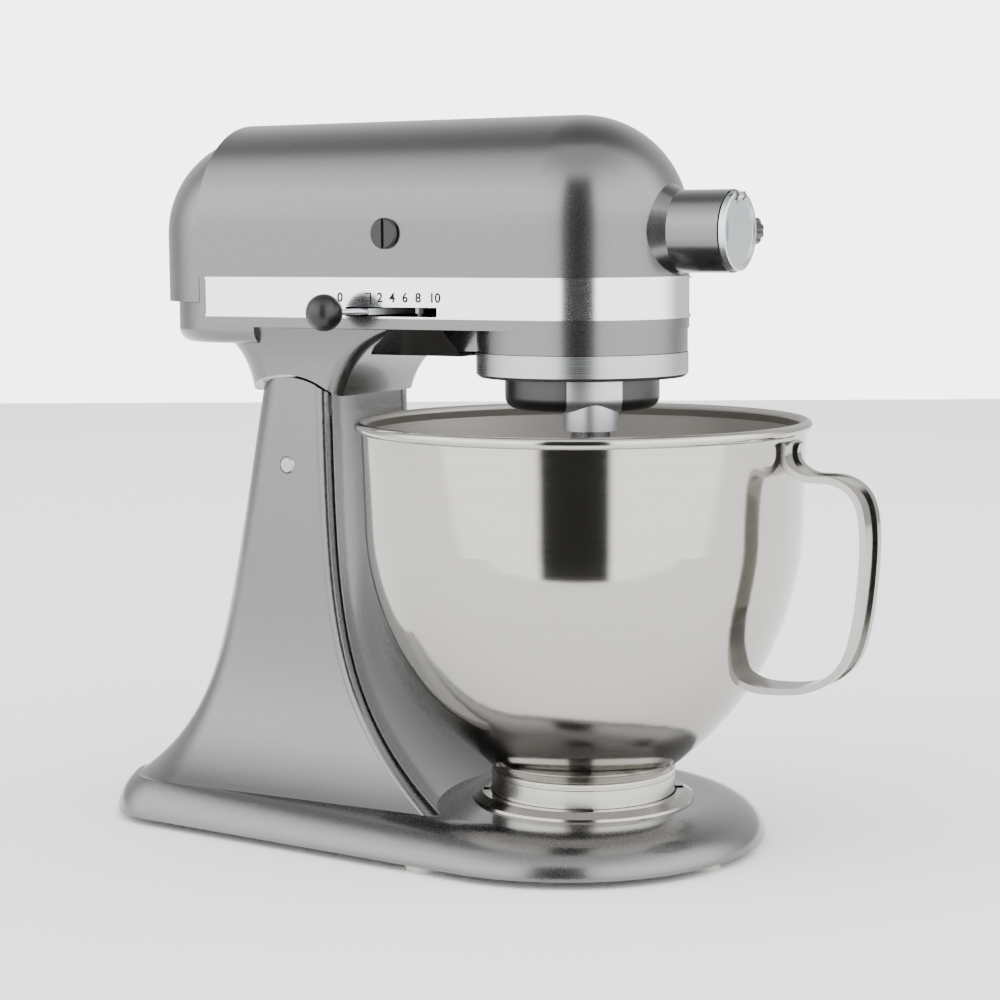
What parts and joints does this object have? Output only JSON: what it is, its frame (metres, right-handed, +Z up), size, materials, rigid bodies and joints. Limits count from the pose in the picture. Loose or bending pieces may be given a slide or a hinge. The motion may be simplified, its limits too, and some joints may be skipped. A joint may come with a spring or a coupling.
{
  "type": "stand mixer",
  "caption": "Tilt-head stand mixer with a clamped steel bowl, a side speed lever, a planetary beater drive, a worm-geared motor and a front power hub.",
  "frame": {"origin": "bottom centre of the whole mixer, on the table under the middle of its box", "axes": "+X towards the power hub at the nose, +Y to the left of the nose, +Z up"},
  "size_m": [0.3959, 0.2228, 0.356],
  "materials": {
    "paint": "satin metallic",
    "trim": "polished",
    "brushed": "brushed",
    "bright": "polished",
    "steel": "machined",
    "black": "satin",
    "rubber": "matt",
    "gear": "machined",
    "brass": "satin",
    "bronze": "satin",
    "iron": "rough",
    "carbon": "matt",
    "board": "matt"
  },
  "bodies": {
    "base": {"base_casting": "paint", "rubber_feet": "rubber", "column": "paint", "column_bolts": "steel", "hinge_pin": "bright", "pin_set_screw": "steel", "lock_pivot_pin": "steel", "bowl_clamp_plate": "bright", "clamp_plate_screws": "bright"},
    "head": {"upper_housing": "paint", "rear_cover": "paint", "lower_housing": "paint", "trim_band": "trim", "drip_ring": "brushed", "ring_gear": "gear", "brush_caps": "black", "brush_holders": "brass", "carbon_brushes": "carbon", "motor_stator": "iron", "field_coils": "bronze", "front_bearing": "steel", "rear_bearing": "steel", "front_bracket": "brushed", "rear_bracket": "brushed", "center_bush": "bronze", "wheel_bush": "bronze", "hub_bush": "bronze", "hub_cover_pin": "steel", "lever_pivot_pin": "steel", "speed_plate": "board", "cord_gland": "black", "cover_screw": "steel"},
    "speed_control": {"speed_lever": "bright", "speed_knob": "black"},
    "head_lock": {"lock_lever": "bright", "lock_knob": "black"},
    "armature": {"armature_shaft": "steel", "armature_core": "iron", "commutator": "bronze", "cooling_fan": "black"},
    "worm_drive": {"worm_wheel": "bronze", "wheel_shaft": "steel", "drive_pinion": "gear"},
    "planetary": {"planetary_carrier": "brushed", "center_shaft": "steel", "center_gear": "gear", "center_bevel_gear": "gear"},
    "beater": {"beater_shaft": "steel", "planet_pinion": "gear", "beater_pin": "steel", "beater_washer": "steel"},
    "hub_drive": {"hub_drive_shaft": "steel", "hub_bevel_pinion": "gear"},
    "hub_lid": {"hub_cover": "bright"},
    "hub_thumbscrew": {"hub_knob": "black"},
    "bowl": {"bowl_shell": "brushed", "bowl_foot": "bright", "bowl_handle": "bright"}
  },
  "joints": [
    {"name": "head_tilt", "type": "hinge", "parent": "base", "child": "head", "pos_m": [-0.1005, 0, 0.184], "axis": [0, -1, 0], "range_deg": [0, 45]},
    {"name": "speed_select", "type": "hinge", "parent": "head", "child": "speed_control", "pos_m": [-0.0295, -0.024, 0.2623], "axis": [0, 0, 1], "range_deg": [0, 66]},
    {"name": "head_lock_throw", "type": "hinge", "parent": "base", "child": "head_lock", "pos_m": [-0.1025, 0.026, 0.202], "axis": [0, 0, -1], "range_deg": [0, 50]},
    {"name": "motor_spin", "type": "hinge", "parent": "head", "child": "armature", "pos_m": [-0.0525, 0, 0.3], "axis": [1, 0, 0], "continuous": true},
    {"name": "worm_wheel_spin", "type": "hinge", "parent": "head", "child": "worm_drive", "pos_m": [0.0135, 0.022, 0.3], "axis": [0, 0, 1], "continuous": true},
    {"name": "planetary_spin", "type": "hinge", "parent": "head", "child": "planetary", "pos_m": [0.0475, 0, 0.224], "axis": [0, 0, 1], "continuous": true},
    {"name": "beater_spin", "type": "hinge", "parent": "planetary", "child": "beater", "pos_m": [0.06194, -0.01917, 0.214], "axis": [0, 0, 1], "continuous": true},
    {"name": "hub_spin", "type": "hinge", "parent": "head", "child": "hub_drive", "pos_m": [0.0875, 0, 0.3], "axis": [1, 0, 0], "continuous": true},
    {"name": "hub_cover_flip", "type": "hinge", "parent": "head", "child": "hub_lid", "pos_m": [0.1297, 0, 0.3166], "axis": [0, -1, 0], "range_deg": [0, 110]},
    {"name": "hub_knob_turn", "type": "hinge", "parent": "head", "child": "hub_thumbscrew", "pos_m": [0.1175, 0.028, 0.3], "axis": [0, 1, 0], "range_deg": [0, 720]},
    {"name": "bowl_twist", "type": "hinge", "parent": "base", "child": "bowl", "pos_m": [0.0475, 0, 0.024], "axis": [0, 0, 1], "range_deg": [0, 15]}
  ],
  "couplings": [
    {"joint": "planetary_spin", "follows": "motor_spin", "ratio": 0.020588},
    {"joint": "worm_wheel_spin", "follows": "motor_spin", "ratio": -0.058824},
    {"joint": "beater_spin", "follows": "motor_spin", "ratio": -0.061765},
    {"joint": "hub_spin", "follows": "motor_spin", "ratio": 0.029412}
  ]
}
